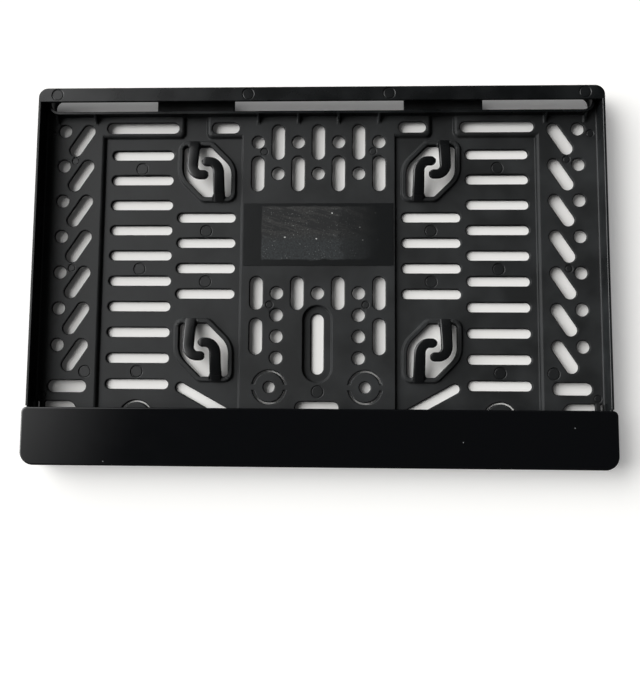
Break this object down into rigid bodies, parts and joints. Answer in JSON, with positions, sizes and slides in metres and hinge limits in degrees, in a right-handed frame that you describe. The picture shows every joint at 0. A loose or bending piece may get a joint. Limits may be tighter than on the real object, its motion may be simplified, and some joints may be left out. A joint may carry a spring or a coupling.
{
  "type": "number plate holder",
  "caption": "Flat black tray that holds a car number plate, with slotted back, spring hooks, a top lip and a glossy lower strip that swings open on a hinge.",
  "frame": {"origin": "centre of the outline on the back face, which lies on the floor", "axes": "+X across the plate, +Y up the plate towards the lip, +Z out of the front"},
  "size_m": [0.3008, 0.198, 0.0132],
  "materials": {
    "tray_plastic": "satin moulded polypropylene, black",
    "strip_plastic": "polished ABS, black",
    "tape": "scuffed adhesive tape, dull black"
  },
  "bodies": {
    "base": {"base_tray": "tray_plastic", "adhesive_tape": "tape"},
    "strip": {"lower_strip": "strip_plastic"}
  },
  "joints": [
    {"name": "strip_hinge", "type": "hinge", "parent": "base", "child": "strip", "pos_m": [0, -0.0946, 0.0046], "axis": [1, 0, 0], "range_deg": [0, 90]}
  ]
}
